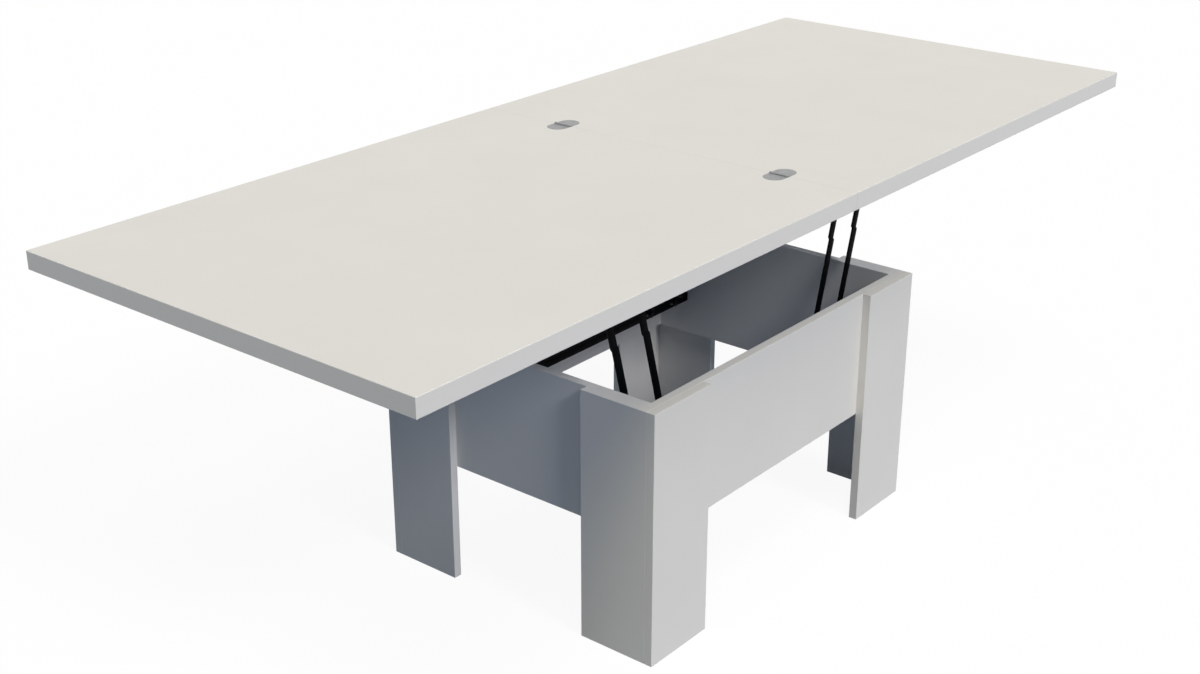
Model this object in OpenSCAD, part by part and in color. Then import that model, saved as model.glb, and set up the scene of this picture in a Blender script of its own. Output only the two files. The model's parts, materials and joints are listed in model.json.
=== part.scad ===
// Extending dining table that folds down to a low table.
// Two leaves are joined edge to edge by flush hinges.
// The fixed leaf rides on two pairs of lifting arms inside a box base.
// Two more pairs swing the other way and carry a frame that slides out
// under the folding leaf.
// The model stands raised and open, as it is used for dining.
// Origin: middle of the base, on the floor. X runs along the top, Z is up.

/* [Top] */
// Length of one leaf, along the open table
leaf_l = 1000; // [960:5:1040]
// Width of both leaves
top_w = 800; // [700:10:900]
// Thickness of each leaf
leaf_t = 30; // [25:1:34]
// Height of the top surface when raised
top_z = 740; // [730:1:750]
// Open gap between the two leaves
seam = 0.3; // [0.2:0.1:1]
// Thickness of the edge bands of the leaves
band_t = 1; // [0.8:0.1:2]
// Radius of the eased edges of the leaves
leaf_r = 1; // [0.5:0.1:2]

/* [Base] */
// Length of the base
base_l = 790; // [780:5:840]
// Width of the base
base_w = 595; // [560:5:680]
// Height of the base
base_h = 460; // [455:1:470]
// Thickness of the base boards
board_t = 16; // [12:1:20]
// Radius of the eased edges of the base boards
board_r = 0.6; // [0.3:0.1:1.5]
// Width of a leg panel on each face of the base
leg_w = 150; // [100:5:200]
// Height of the aprons
apron_h = 241; // [230:1:250]

/* [Lift frame] */
// Distance from a side apron to the pivot face of its base rail
rail_inset = 68; // [55:1:80]
// Height of the base rails above the lower edge of the aprons
rail_up = 71; // [60:1:80]
// Height of a base rail
rail_h = 40; // [36:1:60]
// Width of the flange of a base rail
rail_flange = 25; // [20:1:35]
// Wall of all the steel angles
steel_t = 3; // [2:0.5:4]
// Height of the lower pivots above the foot of the base rails
pivot_up = 16; // [12:1:20]
// Distance of the outer lower pivots from the end aprons
pivot_inset = 60; // [58:1:78]
// Distance between the two arms of a pair
arm_pitch = 80; // [60:1:90]
// Distance that the top slides while it is raised
slide = 487; // [480:1:500]

/* [Arms] */
// Width of an arm
arm_w = 15; // [14:1:18]
// Thickness of an arm
arm_t = 3; // [2:0.5:4]
// Length of the straight foot of an arm, up to its crank
crank_at = 234; // [200:1:260]
// Length over which the crank steps sideways
crank_run = 3; // [2:1:20]
// Sideways step of the crank
crank = 2.5; // [2:0.5:5]
// Radius of the pivot bolts
bolt_r = 3; // [2.5:0.5:4]
// Thickness of the washers beside the arms
washer_t = 1; // [0.8:0.1:1.5]
// Distance from the lifting arms to the support arms, across the table
layer_gap = 5; // [5:0.5:8]

/* [Top rails] */
// Height of the rails under the fixed leaf
top_rail_h = 25; // [23:1:32]
// Width of the flange that is screwed to the leaf
top_rail_flange = 25; // [20:1:40]
// Depth of the upper pivots below the leaves
pivot_drop = 13; // [13:0.5:15]
// Free length between a lowered rail and the end aprons
rail_clear = 8; // [5:1:20]
// Number of screws in each top rail
rail_screws = 4; // [3:1:6]
// Distance of the outer screws from the ends of a top rail
rail_screw_inset = 20; // [12:1:60]

/* [Support frame] */
// Length of the sliding support frame
support_l = 410; // [300:5:435]
// Free length between the lowered frame and the end apron
support_clear = 13; // [5:1:25]
// Width of its square cross tubes
cross_w = 20; // [15:1:22]
// Wall of the cross tubes
cross_wall = 1.5; // [1:0.5:2.5]
// Thickness of the glide pads
glide_t = 1.2; // [1:0.1:2]

/* [Hinges] */
// Distance of the far hinge from the middle of the top
hinge_far = 220; // [150:1:300]
// Distance of the near hinge from the middle of the top
hinge_near = 250; // [150:1:300]
// Length of a hinge over both plates
hinge_l = 70; // [60:1:90]
// Width of a hinge
hinge_w = 39; // [30:1:45]
// Thickness of the hinge plates
plate_t = 2; // [1.8:0.1:2.4]
// Radius of the hinge knuckles
knuckle_r = 2; // [1.9:0.1:3]
// Radius of the hinge pins
pin_r = 1; // [0.8:0.1:1.1]

/* [Rest] */
// Thickness of the rubber pads under the fixed leaf
pad_t = 1.7; // [1:0.1:3]
// Radius of the rubber pads
pad_r = 7; // [5:0.5:8]
// Radius of the rubber stop buffers
buffer_r = 6; // [5:0.5:7]

/* [Hidden] */
$fn = 48;

// Clearances
pin_gap = 0.05;
side_gap = 0.3;
flush_gap = 0.1;
slack = 0.1;
// How far a cut reaches past what it cuts
cut = 1;

// Heights
under_z = top_z - leaf_t;
apron_z = base_h - apron_h;
rail_z = apron_z + rail_up;
pivot_z = rail_z + pivot_up;
upper_z = under_z - pivot_drop;

// The box inside the aprons
inner_x = base_l / 2 - 2 * board_t;
inner_y = base_w / 2 - 2 * board_t;

// Lift geometry: the fixed leaf comes down by drop while it slides back,
// until it lies on the base, centred to within a few millimetres
drop = under_z - base_h - pad_t - side_gap;
rise = upper_z - pivot_z;
arm_x = (pow(slide, 2) + pow(drop, 2) - 2 * rise * drop) / (2 * slide);
arm_l = sqrt(pow(rise, 2) + pow(arm_x, 2));
lean = atan(arm_x / rise);
swing = 90 + lean - atan((rise - drop) / (slide - arm_x));

// Layers across the table, each the outer face of its piece
rail_face_y = inner_y - rail_inset;
lift_y = rail_face_y - washer_t;
support_y = lift_y - arm_t - crank - layer_gap;
top_rail_y = lift_y - crank + washer_t + steel_t;
support_rail_y = support_y - crank - arm_t - washer_t;

// Pivot places along the table, outer arm first
pivot_x = inner_x - pivot_inset;
foot_x = [pivot_x, pivot_x - arm_pitch];
head_x = [pivot_x + arm_x, pivot_x - arm_pitch + arm_x];

// Fastener sizes
bolt_head_r = 2 * bolt_r;
bolt_head_t = bolt_r;
nut_r = 1.9 * bolt_r;
nut_t = 4;
bolt_tip = 2;
washer_r = bolt_head_r + 1;
screw_r = 2;
screw_l = 13;
screw_head_t = 2;
hinge_screw_r = 1.6;

// Rails: each end stays clear of the end aprons when lowered
top_rail_l = 2 * (inner_x - rail_clear);
top_rail_x = -slide - top_rail_l / 2;
support_x = slide - inner_x + support_clear;
support_z = under_z - side_gap - glide_t;

// Hinge
hinge_z = top_z + side_gap;
plate_z = top_z - flush_gap - plate_t;
groove_r = knuckle_r + 0.4;
knuckle_l = (hinge_w - 4 * side_gap) / 3;

laminate = [0.87, 0.86, 0.84];
edging = [0.88, 0.88, 0.86];
black = [0.05, 0.05, 0.06];
steel = [0.62, 0.62, 0.62];
zinc = [0.75, 0.75, 0.76];
black_zinc = [0.08, 0.08, 0.09];
rubber = [0.12, 0.12, 0.12];
nylon = [0.9, 0.9, 0.88];
black_nylon = [0.06, 0.06, 0.06];

// A board or bar from one corner to the other
module block(low, high) {
  translate(low) cube(high - low);
}

// Outline of an eased board, its corners rounded by r
module eased(w, h, r) {
  translate([r, 0]) square([w - 2 * r, h]);
  translate([0, r]) square([w, h - 2 * r]);
  for (x = [r, w - r], y = [r, h - r])
    translate([x, y]) circle(r);
}

// A board with all its edges eased by r
module board(low, high, r) {
  size = high - low;
  translate(low)
    intersection() {
      linear_extrude(size[2]) eased(size[0], size[1], r);
      translate([0, size[1], 0]) rotate([90, 0, 0]) linear_extrude(size[1]) eased(size[0], size[2], r);
      rotate([90, 0, 90]) linear_extrude(size[0]) eased(size[1], size[2], r);
    }
}

// A round bar along Y, from y to y + h
module bar_y(x, y, z, r, h) {
  translate([x, y, z]) rotate([-90, 0, 0]) cylinder(r = r, h = h);
}

// A piece of the far side, put on the near side as well
module both_sides() {
  children();
  mirror([0, 1, 0]) children();
}

// A piece of the left pair, turned over to the right pair
module both_ends() {
  children();
  mirror([1, 0, 0]) children();
}

// A piece of a hinge, put at both hinges
module at_hinges() {
  for (y = [hinge_far, -hinge_near])
    translate([0, y, 0]) children();
}

// Base boards

module apron_back() {
  color(laminate)
    board([-inner_x - board_t, inner_y, apron_z], [inner_x + board_t, inner_y + board_t, base_h],
          board_r);
}

module apron_front() {
  mirror([0, 1, 0]) apron_back();
}

module apron_right() {
  color(laminate)
    board([inner_x, -inner_y, apron_z], [inner_x + board_t, inner_y, base_h], board_r);
}

module apron_left() {
  mirror([1, 0, 0]) apron_right();
}

// Leg panel on the long side, which covers the edge of the other panel
module leg_face() {
  color(laminate)
    board([base_l / 2 - leg_w, base_w / 2 - board_t, 0], [base_l / 2, base_w / 2, base_h], board_r);
}

// Leg panel on the end of the base
module leg_end() {
  color(laminate)
    board([base_l / 2 - board_t, base_w / 2 - leg_w, 0], [base_l / 2, base_w / 2 - board_t, base_h],
          board_r);
}

// Glued blocks in the four corners of the aprons
module corner_blocks() {
  leg = 24;
  chamfer = 4;
  foot = 50;
  color([0.72, 0.58, 0.4])
    both_sides() both_ends()
      translate([inner_x, inner_y, apron_z + foot])
        linear_extrude(apron_h - 2 * foot)
          polygon([[0, 0], [-leg, 0], [-leg, -chamfer], [-chamfer, -leg], [0, -leg]]);
}

// Lift frame in the base

module screw_holes_x(x, y_list, z, depth) {
  for (y = y_list)
    translate([x, y, z]) rotate([0, 90, 0]) cylinder(r = screw_r + pin_gap, h = depth);
}

// End plates of the base rails, each with two screws
plate_w = rail_flange + 17;
plate_screw_inset = 9;
plate_screw_pitch = 16;
plate_screw_y = [for (i = [0, 1]) rail_face_y + plate_w - plate_screw_inset - i * plate_screw_pitch];
plate_screw_z = rail_z + (rail_h + steel_t) / 2;

module base_rail_far() {
  x1 = inner_x - slack;
  color(black)
    difference() {
      union() {
        block([-x1, rail_face_y, rail_z], [x1, rail_face_y + steel_t, rail_z + rail_h]);
        block([-x1, rail_face_y, rail_z], [x1, rail_face_y + rail_flange, rail_z + steel_t]);
        both_ends()
          block([x1 - steel_t, rail_face_y, rail_z], [x1, rail_face_y + plate_w, rail_z + rail_h]);
      }
      both_ends() {
        for (x = foot_x)
          bar_y(x, rail_face_y - cut, pivot_z, bolt_r + pin_gap, steel_t + 2 * cut);
        bar_y(stop_x, rail_face_y - cut, stop_z, bolt_r + pin_gap, steel_t + 2 * cut);
        screw_holes_x(x1 - steel_t - cut, plate_screw_y, plate_screw_z, steel_t + 2 * cut);
      }
    }
}

module base_rail_near() {
  mirror([0, 1, 0]) base_rail_far();
}

module base_rail_screws() {
  color(zinc)
    both_sides() both_ends()
      for (y = plate_screw_y)
        translate([inner_x - slack - steel_t, y, plate_screw_z]) rotate([0, 90, 0]) {
          translate([0, 0, -screw_head_t]) cylinder(r = 2 * screw_r, h = screw_head_t);
          cylinder(r = screw_r, h = screw_l);
        }
}

// A pivot bolt along Y: head from y_head inwards, nut from y_nut outwards
module pivot_bolt(x, y_head, y_nut, z) {
  bar_y(x, y_head - bolt_head_t, z, bolt_head_r, bolt_head_t);
  bar_y(x, y_head - cut, z, bolt_r, y_nut + nut_t + bolt_tip - y_head);
  translate([x, y_nut, z]) rotate([-90, 0, 0]) cylinder(r = nut_r, h = nut_t, $fn = 6);
}

module lower_pivot_bolts() {
  color(black_zinc)
    both_sides() {
      for (x = foot_x)
        pivot_bolt(-x, lift_y - arm_t - side_gap, rail_face_y + steel_t, pivot_z);
      for (x = foot_x)
        pivot_bolt(x, support_y - arm_t - side_gap, rail_face_y + steel_t, pivot_z);
    }
}

module ring_y(x, y, z, r, h) {
  difference() {
    bar_y(x, y, z, r, h);
    bar_y(x, y - cut, z, bolt_r + pin_gap, h + 2 * cut);
  }
}

module lower_spacers() {
  color(black_nylon)
    both_sides() {
      for (x = foot_x)
        ring_y(-x, lift_y + slack, pivot_z, washer_r, washer_t - slack);
      for (x = foot_x)
        ring_y(x, support_y + slack, pivot_z, bolt_head_r, rail_face_y - support_y - slack);
    }
}

// Stop buffers beside the outer arms, on the side to which they lean
stop_up = 17;
stop_off = arm_w / 2 + buffer_r + side_gap;
stop_x = pivot_x + stop_up * sin(lean) + stop_off * cos(lean);
stop_z = pivot_z + stop_up * cos(lean) - stop_off * sin(lean);

module stop_bolts() {
  color(black_zinc)
    both_sides() {
      pivot_bolt(-stop_x, lift_y - arm_t, rail_face_y + steel_t, stop_z);
      pivot_bolt(stop_x, support_y - arm_t, rail_face_y + steel_t, stop_z);
    }
}

module stop_buffers() {
  color(rubber)
    both_sides() {
      ring_y(-stop_x, lift_y - arm_t, stop_z, buffer_r, rail_face_y - lift_y + arm_t);
      ring_y(stop_x, support_y - arm_t, stop_z, buffer_r, rail_face_y - support_y + arm_t);
    }
}

// Arms

// A cranked flat arm, upright on its lower pivot, with its outer face at y
module arm_blank(y) {
  in = y - arm_t;
  difference() {
    union() {
      rotate([90, 0, 90])
        linear_extrude(arm_w, center = true)
          polygon([
            [y, 0], [y, crank_at], [y - crank, crank_at + crank_run], [y - crank, arm_l],
            [in - crank, arm_l], [in - crank, crank_at + crank_run], [in, crank_at], [in, 0]
          ]);
      bar_y(0, in, 0, arm_w / 2, arm_t);
      bar_y(0, in - crank, arm_l, arm_w / 2, arm_t);
    }
    bar_y(0, in - cut, 0, bolt_r + pin_gap, arm_t + 2 * cut);
    bar_y(0, in - crank - cut, arm_l, bolt_r + pin_gap, arm_t + 2 * cut);
  }
}

// An arm of the far side that leans away from the middle
module far_arm(x, y) {
  color(black)
    translate([x, 0, pivot_z]) rotate([0, lean, 0]) arm_blank(y);
}

module lift_arm_far() {
  mirror([1, 0, 0]) far_arm(foot_x[0], lift_y);
}

module lift_arm_near() {
  mirror([0, 1, 0]) lift_arm_far();
}

module lift_lever_far() {
  mirror([1, 0, 0]) far_arm(foot_x[1], lift_y);
}

module lift_lever_near() {
  mirror([0, 1, 0]) lift_lever_far();
}

module support_arm_far() {
  far_arm(foot_x[0], support_y);
}

module support_arm_near() {
  mirror([0, 1, 0]) support_arm_far();
}

module support_lever_far() {
  far_arm(foot_x[1], support_y);
}

module support_lever_near() {
  mirror([0, 1, 0]) support_lever_far();
}

// Tube that is welded between the two lift levers, round their lower pivots
tube_wall = 2;
tube_clear = 4.5;
tube_r = bolt_head_r + tube_clear + tube_wall;

module torsion_tube() {
  y1 = lift_y - arm_t;
  color(black)
    difference() {
      bar_y(-foot_x[1], -y1, pivot_z, tube_r, 2 * y1);
      bar_y(-foot_x[1], -y1 - cut, pivot_z, tube_r - tube_wall, 2 * (y1 + cut));
    }
}

// Leaves

// Outline of one hinge plate with its round end, from the seam to the right
module plate_outline(grow) {
  r = hinge_w / 2 + grow;
  x1 = hinge_l / 2 - hinge_w / 2;
  translate([0, -r]) square([x1, 2 * r]);
  intersection() {
    translate([x1, 0]) circle(r);
    translate([0, -r]) square([x1 + r, 2 * r]);
  }
}

// The outer form of a leaf to the right of the seam, with its hinge recesses.
// Its edges are eased, except at the seam, where the leaves meet square.
module leaf_form() {
  difference() {
    board([-leaf_r, -top_w / 2, under_z], [leaf_l, top_w / 2, top_z], leaf_r);
    block([-2 * leaf_r, -top_w, 0], [seam / 2, top_w, 2 * top_z]);
    at_hinges() {
      translate([0, 0, plate_z]) linear_extrude(leaf_t) plate_outline(flush_gap);
      bar_y(0, -hinge_w / 2 - side_gap, hinge_z, groove_r, hinge_w + 2 * side_gap);
    }
  }
}

// What lies inside the edge bands
module leaf_core() {
  intersection() {
    leaf_form();
    block([seam / 2 + band_t, band_t - top_w / 2, 0], [leaf_l - band_t, top_w / 2 - band_t, 2 * top_z]);
  }
}

// Bands along the two sides, and between them at the seam and at the end
module leaf_bands() {
  band_y = top_w / 2 - band_t - slack;
  both_sides()
    intersection() {
      leaf_form();
      block([0, top_w / 2 - band_t, 0], [2 * leaf_l, top_w, 2 * top_z]);
    }
  for (x = [seam / 2, leaf_l - band_t])
    intersection() {
      leaf_form();
      block([x, -band_y, 0], [x + band_t, band_y, 2 * top_z]);
    }
}

module folding_leaf() {
  color(laminate) leaf_core();
}

module folding_leaf_edging() {
  color(edging) leaf_bands();
}

module fixed_leaf() {
  color(laminate) mirror([1, 0, 0]) leaf_core();
}

module fixed_leaf_edging() {
  color(edging) mirror([1, 0, 0]) leaf_bands();
}

// Hinges

// Three countersunk screws in each plate: two beside the knuckles, one at the round end
seam_inset = 12;
edge_inset = 8;
plate_screws = [
  [seam_inset, hinge_w / 2 - edge_inset],
  [seam_inset, edge_inset - hinge_w / 2],
  [hinge_l / 2 - edge_inset, 0]
];
sink_r = 2 * hinge_screw_r;
sink_t = hinge_screw_r;
knuckle_web = 1;

// One plate to the right of the seam: mids are the middles of its knuckles
module hinge_plate(mids) {
  difference() {
    union() {
      difference() {
        translate([0, 0, plate_z]) linear_extrude(plate_t) plate_outline(0);
        bar_y(0, -hinge_w, hinge_z, groove_r, 2 * hinge_w);
      }
      for (m = mids) {
        bar_y(0, m - knuckle_l / 2, hinge_z, knuckle_r, knuckle_l);
        block([0, m - knuckle_l / 2, plate_z],
              [groove_r + knuckle_web, m + knuckle_l / 2, plate_z + plate_t]);
      }
    }
    bar_y(0, -hinge_w, hinge_z, pin_r + pin_gap, 2 * hinge_w);
    for (s = plate_screws)
      translate([s[0], s[1], plate_z + plate_t]) {
        translate([0, 0, -sink_t - pin_gap])
          cylinder(r1 = hinge_screw_r, r2 = sink_r + pin_gap, h = sink_t + pin_gap);
        translate([0, 0, -plate_t - cut]) cylinder(r = hinge_screw_r + pin_gap, h = plate_t + 2 * cut);
      }
  }
}

outer_mid = knuckle_l + side_gap * 1.5;

module hinge_plates_leaf() {
  color(steel)
    at_hinges() hinge_plate([0]);
}

module hinge_plates_fixed() {
  color(steel)
    at_hinges() mirror([1, 0, 0]) hinge_plate([-outer_mid, outer_mid]);
}

module hinge_pins() {
  color(zinc)
    at_hinges() bar_y(0, -hinge_w / 2, hinge_z, pin_r, hinge_w);
}

module hinge_screws_leaf() {
  color(zinc)
    at_hinges()
      for (s = plate_screws)
        translate([s[0], s[1], plate_z + plate_t]) {
          translate([0, 0, -sink_t]) cylinder(r1 = hinge_screw_r - pin_gap, r2 = sink_r, h = sink_t);
          translate([0, 0, -screw_l]) cylinder(r = hinge_screw_r - pin_gap, h = screw_l - sink_t / 2);
        }
}

module hinge_screws_fixed() {
  mirror([1, 0, 0]) hinge_screws_leaf();
}

// Rails under the fixed leaf

top_screw_y = top_rail_y + steel_t / 2 + top_rail_flange / 2;

function top_screw_x(i) =
  top_rail_x + rail_screw_inset + i * (top_rail_l - 2 * rail_screw_inset) / (rail_screws - 1);

module top_rail_far() {
  y0 = top_rail_y - steel_t;
  color(black)
    difference() {
      union() {
        block([top_rail_x, y0, under_z - top_rail_h],
              [top_rail_x + top_rail_l, top_rail_y, under_z]);
        block([top_rail_x, y0, under_z - steel_t],
              [top_rail_x + top_rail_l, y0 + top_rail_flange, under_z]);
      }
      for (x = head_x)
        bar_y(-x, y0 - cut, upper_z, bolt_r + pin_gap, steel_t + 2 * cut);
      for (i = [0 : rail_screws - 1])
        translate([top_screw_x(i), top_screw_y, under_z - steel_t - cut])
          cylinder(r = screw_r + pin_gap, h = steel_t + 2 * cut);
    }
}

module top_rail_near() {
  mirror([0, 1, 0]) top_rail_far();
}

module top_rail_screws() {
  color(zinc)
    both_sides()
      for (i = [0 : rail_screws - 1])
        translate([top_screw_x(i), top_screw_y, under_z - steel_t]) {
          translate([0, 0, -screw_head_t]) cylinder(r = 2 * screw_r, h = screw_head_t);
          cylinder(r = screw_r, h = screw_l);
        }
}

module lift_upper_bolts() {
  color(black_zinc)
    both_sides()
      for (x = head_x)
        pivot_bolt(-x, lift_y - crank - arm_t - side_gap, top_rail_y, upper_z);
}

module lift_upper_washers() {
  color(black_nylon)
    both_sides()
      for (x = head_x)
        ring_y(-x, lift_y - crank + slack, upper_z, washer_r, washer_t - slack);
}

// Rubber pads that land on the rim of the base
module rest_pads() {
  color(rubber)
    both_sides()
      for (s = [-1, 1])
        translate([s * (base_l / 2 - board_t) - slide, base_w / 2 - board_t, under_z - pad_t])
          cylinder(r = pad_r, h = pad_t);
}

// Support frame

module support_rail_far() {
  y1 = support_rail_y;
  color(black)
    difference() {
      union() {
        block([support_x, y1 - steel_t, support_z - top_rail_h],
              [support_x + support_l, y1, support_z]);
        block([support_x, y1 - top_rail_flange, support_z - steel_t],
              [support_x + support_l, y1, support_z]);
      }
      for (x = head_x)
        bar_y(x, y1 - steel_t - cut, upper_z, bolt_r + pin_gap, steel_t + 2 * cut);
    }
}

module support_rail_near() {
  mirror([0, 1, 0]) support_rail_far();
}

module support_cross_tubes() {
  y1 = support_rail_y - steel_t;
  z1 = support_z - steel_t;
  end = 15;
  color(black)
    for (x = [support_x + end, support_x + support_l - end - cross_w])
      difference() {
        block([x, -y1, z1 - cross_w], [x + cross_w, y1, z1]);
        block([x + cross_wall, -y1 - cut, z1 - cross_w + cross_wall],
              [x + cross_w - cross_wall, y1 + cut, z1 - cross_wall]);
      }
}

// Bolt along Y with its head outside the arm and its nut inside the rail
module support_bolts() {
  y_head = support_y - crank + side_gap;
  y_nut = support_rail_y - steel_t;
  color(black_zinc)
    both_sides()
      for (x = head_x)
        mirror([0, 1, 0]) pivot_bolt(x, -y_head, -y_nut, upper_z);
}

module support_washers() {
  color(black_nylon)
    both_sides()
      for (x = head_x)
        ring_y(x, support_rail_y, upper_z, washer_r, washer_t - slack);
}

module glide_pads() {
  pad_l = 60;
  inset = 4;
  y1 = support_rail_y - inset;
  color(nylon)
    both_sides()
      for (i = [0 : 2])
        translate([support_x + inset + i * (support_l - pad_l - 2 * inset) / 2, 0, 0])
          block([0, y1 - top_rail_flange + 2 * inset, support_z], [pad_l, y1, support_z + glide_t]);
}

apron_front();
apron_back();
apron_left();
apron_right();
leg_face();  // leg_back_right_face
leg_end();  // leg_back_right_end
mirror([1, 0, 0]) leg_face();  // leg_back_left_face
mirror([1, 0, 0]) leg_end();  // leg_back_left_end
mirror([0, 1, 0]) leg_face();  // leg_front_right_face
mirror([0, 1, 0]) leg_end();  // leg_front_right_end
mirror([1, 0, 0]) mirror([0, 1, 0]) leg_face();  // leg_front_left_face
mirror([1, 0, 0]) mirror([0, 1, 0]) leg_end();  // leg_front_left_end
corner_blocks();
base_rail_near();
base_rail_far();
base_rail_screws();
lower_pivot_bolts();
lower_spacers();
stop_bolts();
stop_buffers();
lift_lever_near();
lift_lever_far();
torsion_tube();
lift_arm_near();
lift_arm_far();
fixed_leaf();
fixed_leaf_edging();
top_rail_near();
top_rail_far();
top_rail_screws();
lift_upper_bolts();
lift_upper_washers();
rest_pads();
hinge_plates_fixed();
hinge_pins();
hinge_screws_fixed();
folding_leaf();
folding_leaf_edging();
hinge_plates_leaf();
hinge_screws_leaf();
support_lever_near();
support_lever_far();
support_arm_near();
support_arm_far();
support_rail_near();
support_rail_far();
support_cross_tubes();
support_bolts();
support_washers();
glide_pads();
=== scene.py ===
# %% [markdown]
# # An extending dining table
# The table is two white laminated leaves on an open box base. Black steel arms
# carry the fixed leaf, and a second set of arms pushes a frame out under the
# folding leaf. The parts come from a CAD model at their real size and place.
# This script gives them their finishes, makes the small hardware that a CAD
# model leaves plain, and sets up the camera, the floor and the light.

# %% Load the parts
import json
import math

import bmesh
import bpy
from mathutils import Matrix, Vector


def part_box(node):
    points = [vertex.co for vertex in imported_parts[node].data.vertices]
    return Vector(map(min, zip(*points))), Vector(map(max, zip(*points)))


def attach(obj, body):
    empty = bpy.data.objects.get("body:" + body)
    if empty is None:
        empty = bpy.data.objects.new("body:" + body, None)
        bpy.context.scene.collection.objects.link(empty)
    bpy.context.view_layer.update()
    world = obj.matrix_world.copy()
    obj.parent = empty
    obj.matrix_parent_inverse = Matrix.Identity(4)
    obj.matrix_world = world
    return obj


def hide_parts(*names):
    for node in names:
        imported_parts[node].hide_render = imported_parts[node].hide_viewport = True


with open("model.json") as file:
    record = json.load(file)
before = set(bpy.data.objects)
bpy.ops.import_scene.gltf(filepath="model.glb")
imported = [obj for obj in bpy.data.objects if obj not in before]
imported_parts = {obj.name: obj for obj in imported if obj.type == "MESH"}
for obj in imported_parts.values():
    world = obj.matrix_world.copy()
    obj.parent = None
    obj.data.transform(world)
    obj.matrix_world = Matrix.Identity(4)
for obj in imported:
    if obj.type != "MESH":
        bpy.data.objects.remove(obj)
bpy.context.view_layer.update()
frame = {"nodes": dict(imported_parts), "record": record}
scene = bpy.context.scene
nodes = frame["nodes"]
print("parts:", len(nodes))

# %% [markdown]
# ## The camera
# The picture was taken from the near left, a little above head height. Where the
# camera stood follows from the edges of the table: parallel edges meet in
# vanishing points, and these give the direction and the focal length. The
# camera is level, so two angles are enough to aim it.

# %% Camera
MM = 0.001
PICTURE_WIDTH_PX = 1200
FOCAL_LENGTH_PX = 1706
CAMERA_PLACE = Vector((-2.2826, -1.7302, 1.600))
TURNED_RIGHT = math.radians(50.76)
TILTED_DOWN = math.radians(23.08)

camera_data = bpy.data.cameras.new("camera")
camera_data.lens = camera_data.sensor_width * FOCAL_LENGTH_PX / PICTURE_WIDTH_PX
camera = bpy.data.objects.new("camera", camera_data)
camera.location = CAMERA_PLACE
camera.rotation_euler = (math.pi / 2 - TILTED_DOWN, 0, -TURNED_RIGHT)
scene.collection.objects.link(camera)
scene.camera = camera
print(f"focal length {camera_data.lens:.2f} mm, sensor {camera_data.sensor_width:.0f} mm wide")

# %% [markdown]
# ## Colours and nodes
# Colours are written as they look on a screen, which is sRGB. The shaders
# calculate in linear light, so one function turns each colour over. A second
# small function adds a shader node with its settings and its links, so that a
# material reads as a list of nodes. A Mix node has sockets for numbers, vectors
# and colours under the same names, so those for colours are picked by number.

# %% Two helpers for materials
MIX_FACTOR, MIX_A, MIX_B = 0, 6, 7
MIX_RESULT = 2


def linear(hex_colour):
    """The linear colour of an sRGB hex colour such as #C0C0C0, and an alpha of 1."""
    values = [int(hex_colour[i:i + 2], 16) / 255 for i in (1, 3, 5)]
    return [v / 12.92 if v <= 0.04045 else ((v + 0.055) / 1.055) ** 2.4 for v in values] + [1.0]


def add_node(tree, kind, inputs=None, **settings):
    """Adds a node. Its inputs are given as values, or as sockets to link from."""
    node = tree.nodes.new(kind)
    for name, value in settings.items():
        setattr(node, name, value)
    for name, value in (inputs or {}).items():
        if isinstance(value, bpy.types.NodeSocket):
            tree.links.new(value, node.inputs[name])
        else:
            node.inputs[name].default_value = value
    return node


print("mid grey #808080 is", round(linear("#808080")[0], 3), "in linear light")

# %% [markdown]
# ## Floor and background
# A product picture stands on plain white. The floor is a wide pale disc. What the
# camera and reflections see of it is mostly white of strength 1, and the rest is
# its own pale surface, which keeps the soft shadow of the table. Light that
# bounces back up comes from the surface alone, so the white background doesn't
# light the table. For that light the surface is a bluish grey, which gives the
# shaded faces of the table their cool tone.

# %% Floor
FLOOR_RADIUS = 60.0
FLOOR_SIDES = 64
FLOOR_DROP = 0.2 * MM
FLOOR_WHITE_SHARE = 0.93
FLOOR_COLOUR = "#FFFFFF"
WHITE = "#FFFFFF"
BOUNCE_COLOUR = "#6D7B93"


def seen_directly(tree):
    """1 for a ray from the camera, a reflection or glass, and 0 for light on its way."""
    path = add_node(tree, "ShaderNodeLightPath")
    mirror = add_node(tree, "ShaderNodeMath", operation="MAXIMUM", inputs={
        0: path.outputs["Is Camera Ray"],
        1: path.outputs["Is Glossy Ray"],
    })
    either = add_node(tree, "ShaderNodeMath", operation="MAXIMUM", inputs={
        0: mirror.outputs[0],
        1: path.outputs["Is Transmission Ray"],
    })
    return either.outputs[0]


def floor_material():
    material = bpy.data.materials.new("pale_floor")
    material.use_nodes = True
    tree = material.node_tree
    tree.nodes.clear()
    seen = seen_directly(tree)
    colour = add_node(tree, "ShaderNodeMix", data_type="RGBA", inputs={
        MIX_FACTOR: seen,
        MIX_A: linear(BOUNCE_COLOUR),
        MIX_B: linear(FLOOR_COLOUR),
    })
    surface = add_node(tree, "ShaderNodeBsdfDiffuse", inputs={"Color": colour.outputs[MIX_RESULT]})
    white = add_node(tree, "ShaderNodeEmission", inputs={"Color": linear(WHITE), "Strength": 1.0})
    share = add_node(tree, "ShaderNodeMath", operation="MULTIPLY", inputs={
        0: seen,
        1: FLOOR_WHITE_SHARE,
    })
    both = add_node(tree, "ShaderNodeMixShader", inputs={
        0: share.outputs[0],
        1: surface.outputs[0],
        2: white.outputs[0],
    })
    add_node(tree, "ShaderNodeOutputMaterial", inputs={"Surface": both.outputs[0]})
    return material


def new_object(name, bm, *materials):
    """Turns a bmesh into an object at the origin."""
    mesh = bpy.data.meshes.new(name)
    bm.to_mesh(mesh)
    bm.free()
    for material in materials:
        mesh.materials.append(material)
    made = bpy.data.objects.new(name, mesh)
    scene.collection.objects.link(made)
    return made


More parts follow.
